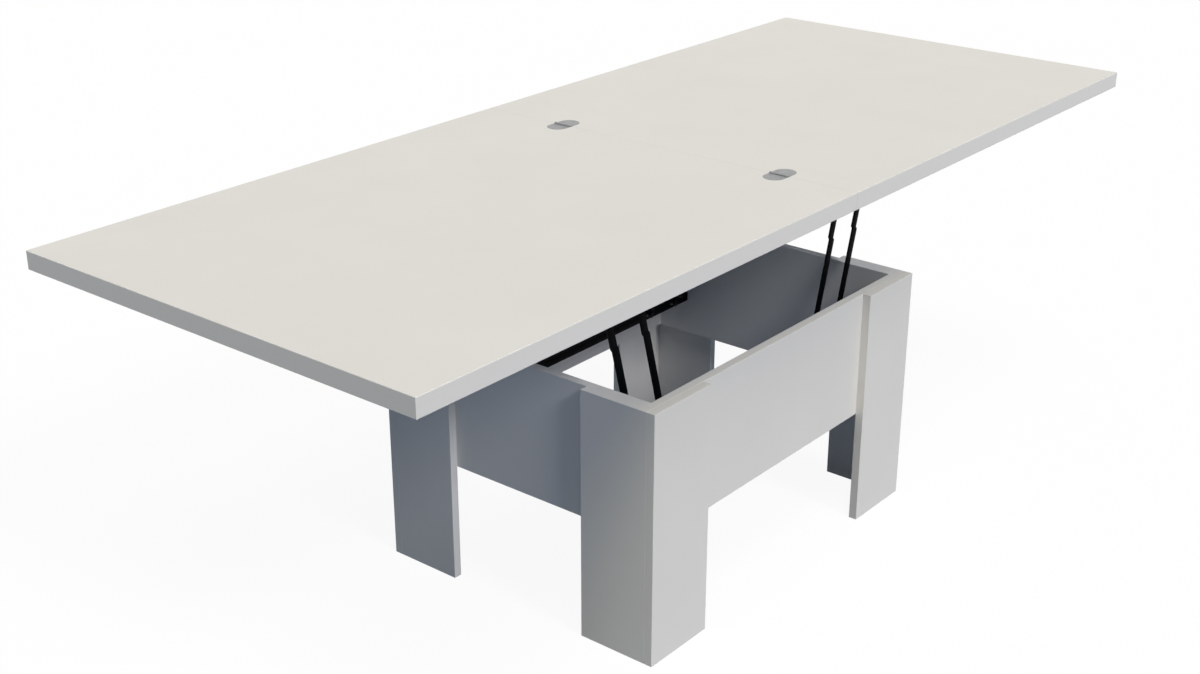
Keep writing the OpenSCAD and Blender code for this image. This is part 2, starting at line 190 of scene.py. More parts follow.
bm = bmesh.new()
bmesh.ops.create_circle(bm, cap_ends=True, segments=FLOOR_SIDES, radius=FLOOR_RADIUS)
bmesh.ops.translate(bm, verts=bm.verts, vec=(0, 0, -FLOOR_DROP))
floor = new_object("floor", bm, floor_material())
print("floor", FLOOR_RADIUS * 2, "m across")

# %% [markdown]
# ## Light
# Three things in the picture tell where its light comes from. The long near side
# is bright, and light falls past the rim of the base, under the top, on the back
# of the box: so the main light stands low on the near side, about as high as the
# eye sees that gap. The short left side is only lit towards the near corner: that
# takes a steep light from the left front, which the leaf keeps off the rest of
# it. What neither reaches is bluish, as light from the sky and the floor is. So
# there are three large soft lamps, and a faint even light from all round.

# %% World and lamps
SKY_COLOUR = "#E4F2FF"
SKY_STRENGTH = 0.18

scene.view_settings.view_transform = "Standard"
world = bpy.data.worlds.new("studio")
scene.world = world
world.use_nodes = True
tree = world.node_tree
tree.nodes.clear()
even = add_node(tree, "ShaderNodeBackground", inputs={
    "Color": linear(SKY_COLOUR), "Strength": SKY_STRENGTH,
})
white = add_node(tree, "ShaderNodeBackground", inputs={"Color": linear(WHITE), "Strength": 1.0})
choice = add_node(tree, "ShaderNodeMixShader", inputs={
    0: seen_directly(tree),
    1: even.outputs[0],
    2: white.outputs[0],
})
add_node(tree, "ShaderNodeOutputWorld", inputs={"Surface": choice.outputs[0]})


def soft_lamp(name, colour, strength, from_left, height, spread):
    """A distant lamp. The angles are in degrees: how far it stands from the near side
    towards the left, how high it stands above the floor, and how wide it looks."""
    data = bpy.data.lights.new(name, "SUN")
    data.color = linear(colour)[:3]
    data.energy = strength
    data.angle = math.radians(spread)
    lamp = bpy.data.objects.new(name, data)
    lamp.rotation_euler = (math.radians(90 - height), 0, -math.radians(from_left))
    scene.collection.objects.link(lamp)
    return lamp


key = soft_lamp("key", "#FAFAFF", 1.86, from_left=9, height=38, spread=14)
side = soft_lamp("side", "#FFF3C5", 0.98, from_left=45, height=58, spread=20)
top = soft_lamp("top", "#EBECFF", 0.67, from_left=50, height=68, spread=20)
print("lamps:", key.name, side.name, top.name)

# %% [markdown]
# ## Surfaces read their pattern in real sizes
# Every pattern below is a noise in Object coordinates, and the objects all stand
# at the origin, so a coordinate is a place in metres. A noise texture of scale
# 1000 has features about a millimetre wide. One function turns the size of a
# feature in millimetres into that scale.

# %% Helpers for patterns


def grain(size_mm):
    """The noise scale whose features are this many millimetres wide."""
    return 1000 / size_mm


def new_material(name):
    """A material with one shader, and the socket that gives a point's place in metres."""
    material = bpy.data.materials.new(name)
    material.use_nodes = True
    tree = material.node_tree
    tree.nodes.clear()
    shader = add_node(tree, "ShaderNodeBsdfPrincipled")
    add_node(tree, "ShaderNodeOutputMaterial", inputs={"Surface": shader.outputs[0]})
    place = add_node(tree, "ShaderNodeTexCoord").outputs["Object"]
    return material, tree, shader, place


print("a 2 mm grain has noise scale", grain(2))

# %% [markdown]
# ### White laminate
# The boards are particle board faced with melamine: paper soaked in resin and
# pressed against an etched steel plate. The plate leaves a fine matt pebble, so
# the board scatters light and never mirrors. The paper is a warm white with a
# hint of cloudiness. The real pebble is about half a millimetre and would vanish
# in the picture, so it is drawn 2 mm wide.

# %% Melamine-faced board
PEBBLE_MM = 2.0
CLOUD_MM = 160.0


def white_laminate():
    material, tree, shader, place = new_material("melamine_faced_board")
    cloud = add_node(tree, "ShaderNodeTexNoise", inputs={
        "Vector": place, "Scale": grain(CLOUD_MM), "Detail": 3.0, "Roughness": 0.6,
    })
    colour = add_node(tree, "ShaderNodeMix", data_type="RGBA", inputs={
        MIX_FACTOR: cloud.outputs["Fac"],
        MIX_A: linear("#E2DFDA"),
        MIX_B: linear("#E7E5E0"),
    })
    pebble = add_node(tree, "ShaderNodeTexNoise", inputs={
        "Vector": place, "Scale": grain(PEBBLE_MM), "Detail": 2.0, "Roughness": 0.5,
    })
    gloss = add_node(tree, "ShaderNodeMapRange", inputs={
        "Value": pebble.outputs["Fac"],
        "From Min": 0.3, "From Max": 0.7, "To Min": 0.52, "To Max": 0.62,
    })
    bump = add_node(tree, "ShaderNodeBump", inputs={
        "Height": pebble.outputs["Fac"], "Strength": 0.12, "Distance": 0.1 * MM,
    })
    tree.links.new(colour.outputs[MIX_RESULT], shader.inputs["Base Color"])
    tree.links.new(gloss.outputs[0], shader.inputs["Roughness"])
    tree.links.new(bump.outputs[0], shader.inputs["Normal"])
    shader.inputs["IOR"].default_value = 1.45
    shader.inputs["Specular IOR Level"].default_value = 0.15
    return material


laminate = white_laminate()
print(laminate.name, "pebble", PEBBLE_MM, "mm")

# %% [markdown]
# ### Edge band
# The leaves are edged with strips of ABS plastic, 1 mm thick, glued on and planed
# flush. ABS is the same white, a little smoother than the board, and the planing
# leaves faint lines along the strip. The lines are a noise that is squeezed
# across the strip and drawn out along it.

# %% ABS edge band
PLANED_LINE_MM = 1.2
LINE_STRETCH = 0.02


def edge_band():
    material, tree, shader, place = new_material("abs_edge_band")
    along = add_node(tree, "ShaderNodeMapping", inputs={
        "Vector": place, "Scale": (LINE_STRETCH, LINE_STRETCH, 1.0),
    })
    lines = add_node(tree, "ShaderNodeTexNoise", inputs={
        "Vector": along.outputs[0], "Scale": grain(PLANED_LINE_MM), "Detail": 2.0,
    })
    colour = add_node(tree, "ShaderNodeMix", data_type="RGBA", inputs={
        MIX_FACTOR: lines.outputs["Fac"],
        MIX_A: linear("#E0DEDA"),
        MIX_B: linear("#E5E3DF"),
    })
    gloss = add_node(tree, "ShaderNodeMapRange", inputs={
        "Value": lines.outputs["Fac"], "To Min": 0.4, "To Max": 0.5,
    })
    bump = add_node(tree, "ShaderNodeBump", inputs={
        "Height": lines.outputs["Fac"], "Strength": 0.08, "Distance": 0.05 * MM,
    })
    tree.links.new(colour.outputs[MIX_RESULT], shader.inputs["Base Color"])
    tree.links.new(gloss.outputs[0], shader.inputs["Roughness"])
    tree.links.new(bump.outputs[0], shader.inputs["Normal"])
    shader.inputs["IOR"].default_value = 1.53
    shader.inputs["Specular IOR Level"].default_value = 0.15
    return material


abs_band = edge_band()
print(abs_band.name, "lines", PLANED_LINE_MM, "mm")

# %% [markdown]
# ### Black powder coat
# The arms and rails are mild steel, coated with black polyester powder and baked.
# The powder melts into a skin with a soft orange peel. It is nearly black, and
# only a dull gleam shows its form. The real peel is about a millimetre wide.

# %% Powder-coated steel
PEEL_MM = 1.4


def powder_coat():
    material, tree, shader, place = new_material("black_powder_coat")
    peel = add_node(tree, "ShaderNodeTexNoise", inputs={
        "Vector": place, "Scale": grain(PEEL_MM), "Detail": 1.0,
    })
    colour = add_node(tree, "ShaderNodeMix", data_type="RGBA", inputs={
        MIX_FACTOR: peel.outputs["Fac"],
        MIX_A: linear("#030405"),
        MIX_B: linear("#07080A"),
    })
    gloss = add_node(tree, "ShaderNodeMapRange", inputs={
        "Value": peel.outputs["Fac"], "To Min": 0.42, "To Max": 0.58,
    })
    bump = add_node(tree, "ShaderNodeBump", inputs={
        "Height": peel.outputs["Fac"], "Strength": 0.25, "Distance": 0.08 * MM,
    })
    tree.links.new(colour.outputs[MIX_RESULT], shader.inputs["Base Color"])
    tree.links.new(gloss.outputs[0], shader.inputs["Roughness"])
    tree.links.new(bump.outputs[0], shader.inputs["Normal"])
    shader.inputs["IOR"].default_value = 1.45
    shader.inputs["Specular IOR Level"].default_value = 0.03
    return material


black_coat = powder_coat()
print(black_coat.name, "peel", PEEL_MM, "mm")

# %% [markdown]
# ### Satin nickel
# The hinges and their screws are steel, brushed and nickel plated. Nickel is a
# plain mid grey metal. The brush runs along each plate, across the seam, so the
# scratches are a noise drawn out along X. They change how sharply it reflects.

# %% Satin nickel
SCRATCH_MM = 0.5
SCRATCH_STRETCH = 0.05


def satin_nickel():
    material, tree, shader, place = new_material("satin_nickel_plate")
    along = add_node(tree, "ShaderNodeMapping", inputs={
        "Vector": place, "Scale": (SCRATCH_STRETCH, 1.0, 1.0),
    })
    scratches = add_node(tree, "ShaderNodeTexNoise", inputs={
        "Vector": along.outputs[0], "Scale": grain(SCRATCH_MM), "Detail": 3.0,
    })
    colour = add_node(tree, "ShaderNodeMix", data_type="RGBA", inputs={
        MIX_FACTOR: scratches.outputs["Fac"],
        MIX_A: linear("#8B8C8C"),
        MIX_B: linear("#A4A5A5"),
    })
    gloss = add_node(tree, "ShaderNodeMapRange", inputs={
        "Value": scratches.outputs["Fac"], "To Min": 0.3, "To Max": 0.5,
    })
    bump = add_node(tree, "ShaderNodeBump", inputs={
        "Height": scratches.outputs["Fac"], "Strength": 0.15, "Distance": 0.03 * MM,
    })
    tree.links.new(colour.outputs[MIX_RESULT], shader.inputs["Base Color"])
    tree.links.new(gloss.outputs[0], shader.inputs["Roughness"])
    tree.links.new(bump.outputs[0], shader.inputs["Normal"])
    shader.inputs["Metallic"].default_value = 1.0
    return material


nickel = satin_nickel()
print(nickel.name, "scratches", SCRATCH_MM, "mm")

# %% [markdown]
# ### Zinc plate
# The screws of the rails are zinc plated and passivated: a cool, dull silver with
# small cloudy patches where the plating took unevenly.

# %% Zinc-plated steel
PATCH_MM = 2.5


def zinc_plate():
    material, tree, shader, place = new_material("zinc_plated_steel")
    patches = add_node(tree, "ShaderNodeTexNoise", inputs={
        "Vector": place, "Scale": grain(PATCH_MM), "Detail": 3.0,
    })
    colour = add_node(tree, "ShaderNodeMix", data_type="RGBA", inputs={
        MIX_FACTOR: patches.outputs["Fac"],
        MIX_A: linear("#B4B8BE"),
        MIX_B: linear("#CDD0D2"),
    })
    gloss = add_node(tree, "ShaderNodeMapRange", inputs={
        "Value": patches.outputs["Fac"], "To Min": 0.28, "To Max": 0.48,
    })
    tree.links.new(colour.outputs[MIX_RESULT], shader.inputs["Base Color"])
    tree.links.new(gloss.outputs[0], shader.inputs["Roughness"])
    shader.inputs["Metallic"].default_value = 1.0
    return material


zinc = zinc_plate()
print(zinc.name, "patches", PATCH_MM, "mm")

# %% [markdown]
# ### Black zinc
# The pivot bolts are zinc plated too, but their passivation is black. The film is
# thin, so the metal below still gives it a faint oily gleam.

# %% Black-passivated zinc


def black_passivated_zinc():
    material, tree, shader, place = new_material("black_passivated_zinc")
    patches = add_node(tree, "ShaderNodeTexNoise", inputs={
        "Vector": place, "Scale": grain(PATCH_MM), "Detail": 3.0,
    })
    colour = add_node(tree, "ShaderNodeMix", data_type="RGBA", inputs={
        MIX_FACTOR: patches.outputs["Fac"],
        MIX_A: linear("#141517"),
        MIX_B: linear("#1E1F22"),
    })
    gloss = add_node(tree, "ShaderNodeMapRange", inputs={
        "Value": patches.outputs["Fac"], "To Min": 0.35, "To Max": 0.55,
    })
    tree.links.new(colour.outputs[MIX_RESULT], shader.inputs["Base Color"])
    tree.links.new(gloss.outputs[0], shader.inputs["Roughness"])
    shader.inputs["Metallic"].default_value = 1.0
    return material


black_zinc = black_passivated_zinc()
print(black_zinc.name, "patches", PATCH_MM, "mm")

# %% [markdown]
# ### Rubber and nylon
# The buffers and rest pads are moulded rubber: very dark, matt, with a dusty
# bloom. The glides and the rings of the lock nuts are moulded nylon: milky white,
# waxy, and slightly see-through at thin edges, which a little subsurface light
# stands for. The washers and spacers between the arms are the same, dyed black.

# %% Rubber and nylon
BLOOM_MM = 3.0
WAX_MM = 4.0
NYLON_DEPTH_MM = 1.5


def moulded_rubber():
    material, tree, shader, place = new_material("moulded_rubber")
    bloom = add_node(tree, "ShaderNodeTexNoise", inputs={
        "Vector": place, "Scale": grain(BLOOM_MM), "Detail": 4.0,
    })
    colour = add_node(tree, "ShaderNodeMix", data_type="RGBA", inputs={
        MIX_FACTOR: bloom.outputs["Fac"],
        MIX_A: linear("#17171A"),
        MIX_B: linear("#232326"),
    })
    bump = add_node(tree, "ShaderNodeBump", inputs={
        "Height": bloom.outputs["Fac"], "Strength": 0.2, "Distance": 0.05 * MM,
    })
    tree.links.new(colour.outputs[MIX_RESULT], shader.inputs["Base Color"])
    tree.links.new(bump.outputs[0], shader.inputs["Normal"])
    shader.inputs["Roughness"].default_value = 0.75
    shader.inputs["IOR"].default_value = 1.52
    return material


def moulded_nylon(name, cloudy, clear):
    material, tree, shader, place = new_material(name)
    wax = add_node(tree, "ShaderNodeTexNoise", inputs={
        "Vector": place, "Scale": grain(WAX_MM), "Detail": 2.0,
    })
    colour = add_node(tree, "ShaderNodeMix", data_type="RGBA", inputs={
        MIX_FACTOR: wax.outputs["Fac"],
        MIX_A: linear(cloudy),
        MIX_B: linear(clear),
    })
    tree.links.new(colour.outputs[MIX_RESULT], shader.inputs["Base Color"])
    shader.inputs["Roughness"].default_value = 0.45
    shader.inputs["IOR"].default_value = 1.53
    shader.inputs["Subsurface Weight"].default_value = 0.3
    shader.inputs["Subsurface Scale"].default_value = NYLON_DEPTH_MM * MM
    return material


rubber = moulded_rubber()
nylon = moulded_nylon("moulded_nylon", "#DFDCD0", "#E8E6DD")
black_nylon = moulded_nylon("black_moulded_nylon", "#0E0E10", "#161618")
print(rubber.name, nylon.name, "and", black_nylon.name)

# %% [markdown]
# ### Sawn pine
# The corner blocks are offcuts of pine, straight from the saw. The grain runs
# upwards: pale early wood and darker late wood in lines a few millimetres apart.
# The saw leaves faint marks across it.

# %% Sawn pine
RING_MM = 4.0
RING_STRETCH = 0.04
SAW_MARK_MM = 2.0


def sawn_pine():
    material, tree, shader, place = new_material("sawn_pine")
    along = add_node(tree, "ShaderNodeMapping", inputs={
        "Vector": place, "Scale": (1.0, 1.0, RING_STRETCH),
    })
    rings = add_node(tree, "ShaderNodeTexNoise", inputs={
        "Vector": along.outputs[0], "Scale": grain(RING_MM),
        "Detail": 4.0, "Distortion": 0.6,
    })
    late_wood = add_node(tree, "ShaderNodeMapRange", interpolation_type="SMOOTHSTEP", inputs={
        "Value": rings.outputs["Fac"], "From Min": 0.4, "From Max": 0.62,
    })
    colour = add_node(tree, "ShaderNodeMix", data_type="RGBA", inputs={
        MIX_FACTOR: late_wood.outputs[0],
        MIX_A: linear("#DDBF92"),
        MIX_B: linear("#B98D58"),
    })
    across = add_node(tree, "ShaderNodeMapping", inputs={
        "Vector": place, "Scale": (RING_STRETCH, RING_STRETCH, 1.0),
    })
    saw = add_node(tree, "ShaderNodeTexNoise", inputs={
        "Vector": across.outputs[0], "Scale": grain(SAW_MARK_MM), "Detail": 2.0,
    })
    bump = add_node(tree, "ShaderNodeBump", inputs={
        "Height": saw.outputs["Fac"], "Strength": 0.5, "Distance": 0.2 * MM,
    })
    tree.links.new(colour.outputs[MIX_RESULT], shader.inputs["Base Color"])
    tree.links.new(bump.outputs[0], shader.inputs["Normal"])
    shader.inputs["Roughness"].default_value = 0.8
    return material


pine = sawn_pine()
print(pine.name, "rings", RING_MM, "mm")

# %% [markdown]
# ## Finishes on the CAD parts
# The record names a finish for each part. One dictionary says which material each
# finish is, and a loop puts it on every part. The shapes stay as they are.

# %% Finishes
FINISHES = {
    "laminate": laminate,
    "edge_band": abs_band,
    "softwood": pine,
    "black_steel": black_coat,
    "satin_steel": nickel,
    "zinc_fasteners": zinc,
    "black_fasteners": black_zinc,
    "rubber": rubber,
    "nylon": nylon,
    "black_nylon": black_nylon,
}
slot_of = {part["node"]: part["material_slot"] for part in frame["record"]["subparts"]}
for name, node in nodes.items():
    for material_slot in node.material_slots:
        material_slot.material = FINISHES[slot_of[name]]
print("parts with a finish:", len(nodes))

# %% [markdown]
# ## Small parts get their real shape
# The CAD model keeps bolts and screws plain: a disc, a rod and a hexagon. Up
# close a real one has a domed head with a socket, a thread and a lock nut. They
# are drawn again here, once for each kind, and copied to every place. The places
# are read from the CAD parts themselves: a part is merged, and its separate
# solids are found by walking from corner to corner along the edges.

# %% The solids of a part
SAME_PLACE = 0.001 * MM


def merged_copy(name):
    """A bmesh of a CAD part with its loose triangles joined."""
    bm = bmesh.new()
    bm.from_mesh(nodes[name].data)
    bmesh.ops.remove_doubles(bm, verts=bm.verts, dist=SAME_PLACE)
    return bm


def solids_of(name):
    """The low and high corner of each separate solid of a CAD part."""
    bm = merged_copy(name)
    boxes = []
    waiting = set(bm.verts)
    while waiting:
        reached, front = [], [waiting.pop()]
        while front:
            vert = front.pop()
            reached.append(vert.co.copy())
            for edge in vert.link_edges:
                other = edge.other_vert(vert)
                if other in waiting:
                    waiting.remove(other)
                    front.append(other)
        low = Vector([min(place[i] for place in reached) for i in range(3)])
        high = Vector([max(place[i] for place in reached) for i in range(3)])
        boxes.append((low, high))
    bm.free()
    return boxes


print("pivot bolts in the base:", len(solids_of("lower_pivot_bolts")))

# %% [markdown]
# Four helpers make all the hardware. A lathe spins an outline round the Z axis,
# and merges the points that meet at the axis. A join adds one shape to another. A
# carving takes one closed shape out of another with a Boolean modifier. The last
# one turns a finished bmesh into a piece of the table: it rides on the body of
# the CAD part that it replaces.

# %% Lathe, join, carving and pieces
ROUND = 32
SHARP_ANGLE = math.radians(35)


def lathe(outline, segments=ROUND, closed=False, material_index=0):
    """Spins an outline of (radius, height) points in mm round the Z axis."""
    bm = bmesh.new()
    verts = [bm.verts.new((radius * MM, 0, height * MM)) for radius, height in outline]
    ends = verts[1:] + verts[:1] if closed else verts[1:]
    edges = [bm.edges.new(pair) for pair in zip(verts, ends)]
    bmesh.ops.spin(bm, geom=verts + edges, cent=(0, 0, 0), axis=(0, 0, 1),
                   angle=2 * math.pi, steps=segments, use_merge=True)
    bmesh.ops.remove_doubles(bm, verts=bm.verts, dist=SAME_PLACE)
    bmesh.ops.recalc_face_normals(bm, faces=bm.faces)
    for face in bm.faces:
        face.material_index = material_index
    return bm


def join(bm, extra):
    """Adds a second bmesh to the first one."""
    mesh = bpy.data.meshes.new("joined")
    extra.to_mesh(mesh)
    extra.free()
    bm.from_mesh(mesh)
    bpy.data.meshes.remove(mesh)


def carve(bm, cutter):
    """Takes a closed shape out of another one."""
    body = new_object("body", bm)
    tool = new_object("tool", cutter)
    boolean = body.modifiers.new("carve", "BOOLEAN")
    boolean.operation = "DIFFERENCE"
    boolean.solver = "EXACT"
    boolean.object = tool
    carved = bmesh.new()
    carved.from_object(body, bpy.context.evaluated_depsgraph_get())
    for scrap in (body, tool):
        mesh = scrap.data
        bpy.data.objects.remove(scrap)
        bpy.data.meshes.remove(mesh)
    return carved


def piece(name, bm, *cad_parts):
    """Makes a piece of the table that stands for these CAD parts."""
    first = cad_parts[0]
    slot = slot_of[first]
    made = new_object(name, bm, FINISHES[slot])
    for polygon in made.data.polygons:
        polygon.use_smooth = True
    made.data.set_sharp_from_angle(angle=SHARP_ANGLE)
    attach(made, body_of[first])
    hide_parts(*cad_parts)
    return made


bodies = frame["record"]["behaviour"]["bodies"]
body_of = {part: body for body, parts in bodies.items() for part in parts}
print("the hinge pins ride on:", body_of["hinge_pins"])

# %% [markdown]
# ### Pivot bolts
# Each arm turns on an M6 bolt with a low domed head and a hexagon socket. A lock
# nut with a nylon ring holds it, because a plain nut would work loose as the arm
# swings. The thread is a row of rings here: at 1 mm pitch nobody can tell rings
# from a helix. The nut is a lathe of only six steps, which chamfers its corners
# as well.

# %% The sizes of a bolt and its lock nut, in mm
BOLT_R = 3.0
HEAD_R = 6.0
HEAD_T = 3.0
HEAD_RIM = 0.5  # the dome starts this high above the underside
HEAD_EASE = 0.15  # the eased lower edge
HEAD_FOOT = 0.3  # the underside is this much smaller than the head
DOME_SHARE = 0.52  # the round share of the head's radius, round a flat middle
DOME_STEP = 15  # degrees between two points of the dome
SOCKET_R = 2.3
SOCKET_DEPTH = 1.8
CUT_PAST = 1.0  # a cutter has to reach past the surface
THREAD_PITCH = 1.0
THREAD_DEPTH = 0.35
THREAD_L = 7.0
TIP_BARE = 0.6  # no thread on the last bit
TIP_CHAMFER = 0.5
TIP_L = 1.0  # what stands out of the nut
NUT_R = 5.7
NUT_T = 4.0  # with its collar
NUT_FOOT = 0.5  # the chamfer below
NUT_SHOULDER = 0.6  # and the one above
NUT_EASE = 0.3  # the height of both
COLLAR_T = 1.2
COLLAR_WALL = (1.1, 1.2, 1.6)  # how far it lies inside the nut's corners: foot, edge, lip
RING_WIDTH = 0.9
RING_SEAT = 0.2  # the collar starts this far below the shoulder, the ring this far above
RING_SUNK = 0.15  # and the ring below the lip
NYLON = 1  # the second material of the piece
print("an M6 bolt with a head", 2 * HEAD_R, "mm wide")

# %% A bolt with its lock nut


def threaded(start, end, radius, pitch, depth):
    """The outline of a thread: crests and roots from start to end."""
    outline = []
    for turn in range(int((end - start) / pitch)):
        outline += [(radius, start + turn * pitch), (radius - depth, start + (turn + 0.5) * pitch)]
    return outline


def hexagon(radius, low, high):
    """A closed prism with six sides."""
    return lathe([(0, low), (radius, low), (radius, high), (0, high)], segments=6)


def lock_nut(foot):
    """A hexagon that stands on foot, the round collar on it, and the ring in the collar."""
    bore = BOLT_R - THREAD_DEPTH
    top = foot + NUT_T
    shoulder = top - COLLAR_T
    seat = shoulder + RING_SEAT
    ring = bore + RING_WIDTH
    low_wall, high_wall, lip = (NUT_R - inwards for inwards in COLLAR_WALL)
    bm = lathe([(bore, foot), (NUT_R - NUT_FOOT, foot), (NUT_R, foot + NUT_EASE),
                (NUT_R, shoulder - NUT_EASE), (NUT_R - NUT_SHOULDER, shoulder), (bore, shoulder)],
               segments=6, closed=True)
    join(bm, lathe([(bore, shoulder - RING_SEAT), (low_wall, shoulder - RING_SEAT),
                    (high_wall, top - NUT_EASE), (lip, top), (ring, top), (ring, seat),
                    (bore, seat)], closed=True))
    join(bm, lathe([(bore, seat), (ring, seat), (ring, top - RING_SUNK), (bore, top - RING_SUNK)],
                   closed=True, material_index=NYLON))
    return bm


def pivot_bolt(length):
    """A bolt along +Z, with the underside of its head at 0 and its tip at length."""
    dome = [(HEAD_R - HEAD_EASE, -HEAD_EASE), (HEAD_R, -HEAD_RIM)]
    for degrees in range(DOME_STEP, 90 + 1, DOME_STEP):
        angle = math.radians(degrees)
        dome.append((HEAD_R * (math.cos(angle) * DOME_SHARE + 1 - DOME_SHARE),
                     -HEAD_RIM - (HEAD_T - HEAD_RIM) * math.sin(angle)))
    outline = [(0, -HEAD_T)] + dome[::-1] + [(HEAD_R - HEAD_FOOT, 0), (BOLT_R, 0)]
    outline += threaded(length - THREAD_L, length - TIP_BARE, BOLT_R, THREAD_PITCH, THREAD_DEPTH)
    outline += [(BOLT_R - TIP_CHAMFER, length), (0, length)]
    bm = carve(lathe(outline), hexagon(SOCKET_R, -HEAD_T - CUT_PAST, -HEAD_T + SOCKET_DEPTH))
    join(bm, lock_nut(length - TIP_L - NUT_T))
    return bm


sample_bolt = pivot_bolt(20)
print("a bolt has", len(sample_bolt.faces), "faces")
sample_bolt.free()

# %% [markdown]
# A bolt is turned so that its +Z points along the real bolt, and put where the
# solid of the CAD part lies. The heads of the lower bolts, the stop bolts and the
# upper bolts of the lifting arms face the middle of the table. Those of the
# support frame face outwards, because its nuts sit inside the frame.

# %% All the bolts


def bolts(cad_part, head_inside):
    bm = bmesh.new()
    for low, high in solids_of(cad_part):
        side = 1 if low.y + high.y > 0 else -1
        towards = side if head_inside else -side  # the way from head to nut
        start = low.y if towards > 0 else high.y
        bolt = pivot_bolt((high.y - low.y) / MM - HEAD_T)
        turn = Matrix.Rotation(-towards * math.pi / 2, 4, "X")
        middle = (low + high) / 2
        move = Matrix.Translation((middle.x, start + towards * HEAD_T * MM, middle.z))
        bmesh.ops.transform(bolt, matrix=move @ turn, verts=bolt.verts)
        join(bm, bolt)
    made = piece(cad_part + "_detailed", bm, cad_part)
    made.data.materials.append(nylon)
    return made


for cad_part, head_inside in (("lower_pivot_bolts", True), ("stop_bolts", True),
                              ("lift_upper_bolts", True), ("support_bolts", False)):
    made = bolts(cad_part, head_inside)
    print(made.name, len(made.data.polygons), "faces")

# %% [markdown]
# ### Wood screws
# The rails are held by pan-head screws and the hinges by countersunk ones. Both
# have a coarse thread that ends in a point, and a cross recess. The recess is
# carved with one wedge and then with a second one, turned a quarter. Two wedges
# in one cutter would run through each other, and a Boolean can't tell the inside
# of such a shape from its outside.

# %% A wood screw
RECESS_WIDTH = 0.8
RECESS_DEPTH = 1.3
RECESS_TAPER = 0.35  # its width at the bottom, as a share of that at the top
POINT_L = 3.0
ROOT_SHARE = 0.7  # the core of the thread, as a share of the shank
BARE_NECK = 0.5  # no thread right below the head
SCREW_SIDES = 24


def wedge(radius, top, turn):
    """A wedge that narrows into the head from its top, and cuts half of the cross."""
    bm = bmesh.new()
    bmesh.ops.create_cube(bm, size=1)
    size = Vector((2 * radius, RECESS_WIDTH, 2 * RECESS_DEPTH)) * MM
    bmesh.ops.scale(bm, vec=size, verts=bm.verts)
    for vert in bm.verts:
        if vert.co.z > 0:
            vert.co.x *= RECESS_TAPER
    bmesh.ops.rotate(bm, matrix=Matrix.Rotation(turn, 3, "Z"), verts=bm.verts)
    bmesh.ops.translate(bm, vec=(0, 0, top * MM), verts=bm.verts)
    return bm


def wood_screw(head, shank_r, shank_l, pitch, recess_r, top):
    """A screw along +Z. The outline of its head starts at the axis and ends at the shank."""
    root = shank_r * ROOT_SHARE
    neck = head[-1][1] + BARE_NECK
    outline = head + threaded(neck, shank_l - POINT_L, shank_r, pitch, shank_r - root)
    outline += [(root, shank_l - POINT_L), (0, shank_l)]
    bm = lathe(outline, segments=SCREW_SIDES)
    for turn in (0, math.pi / 2):
        bm = carve(bm, wedge(recess_r, top, turn))
    return bm


# The heads, as (radius, height) from the axis over the top to the shank.
PAN_HEAD = [(0, -2.0), (1.6, -1.95), (2.8, -1.7), (3.6, -1.15), (4.0, -0.4), (3.9, 0), (2.0, 0)]
SUNK_HEAD = [(0, 0.05), (2.7, 0.05), (3.1, 0.1), (3.1, 0.15), (1.6, 1.6)]
PAN_HEAD_T = 2.0
SUNK_HEAD_T = 0.0


def pan_head_screw():
    return wood_screw(PAN_HEAD, shank_r=2.0, shank_l=13.0, pitch=1.6, recess_r=2.0, top=-2.0)


def sunk_screw():
    return wood_screw(SUNK_HEAD, shank_r=1.55, shank_l=13.0, pitch=1.3, recess_r=1.8, top=0.08)


sample_screw = pan_head_screw()
print("a screw has", len(sample_screw.faces), "faces")
sample_screw.free()

# %% [markdown]
# The direction of each screw is known from what it holds: the rail screws go
# outwards into the end aprons, the top rail screws upwards into the leaf, and the
# hinge screws downwards.

# %% All the screws
UP = Matrix.Identity(4)
DOWN = Matrix.Rotation(math.pi, 4, "X")


def screws(cad_part, make, head_t, direction):
    """Puts a screw in the place of each solid. It points in the direction."""
    bm = bmesh.new()
    for low, high in solids_of(cad_part):
        middle = (low + high) / 2
        if direction == "outwards":
            side = 1 if middle.x > 0 else -1
            turn = Matrix.Rotation(side * math.pi / 2, 4, "Y")
            inner_x = low.x if side > 0 else high.x
            start = Vector((inner_x + side * head_t * MM, middle.y, middle.z))
        elif direction == "up":
            turn = UP
            start = Vector((middle.x, middle.y, low.z + head_t * MM))
        else:
            turn = DOWN
            start = Vector((middle.x, middle.y, high.z - head_t * MM))
        screw = make()
        bmesh.ops.transform(screw, matrix=Matrix.Translation(start) @ turn, verts=screw.verts)
        join(bm, screw)
    return piece(cad_part + "_detailed", bm, cad_part)


for cad_part, make, head_t, direction in (
        ("base_rail_screws", pan_head_screw, PAN_HEAD_T, "outwards"),
        ("top_rail_screws", pan_head_screw, PAN_HEAD_T, "up"),
        ("hinge_screws_fixed", sunk_screw, SUNK_HEAD_T, "down"),
        ("hinge_screws_leaf", sunk_screw, SUNK_HEAD_T, "down")):
    made = screws(cad_part, make, head_t, direction)
    print(made.name, len(made.data.polygons), "faces")

# %% [markdown]
# ## Edges of steel, rubber and nylon
# A CAD solid has razor edges, and a flat bar that has been cut, ground and coated
# has none: the edge catches a thin line of light. Each such part is copied from
# the CAD model, its flat triangles are joined again to whole faces, and every
# sharp edge gets a small bevel. The inner corner of an angle gets its fillet in
# the same step, because a bevel on a hollow edge fills it.

# %% Parts with softened edges
FLAT = math.radians(1)
EDGE_ANGLE = math.radians(30)
EDGE_SEGMENTS = 2


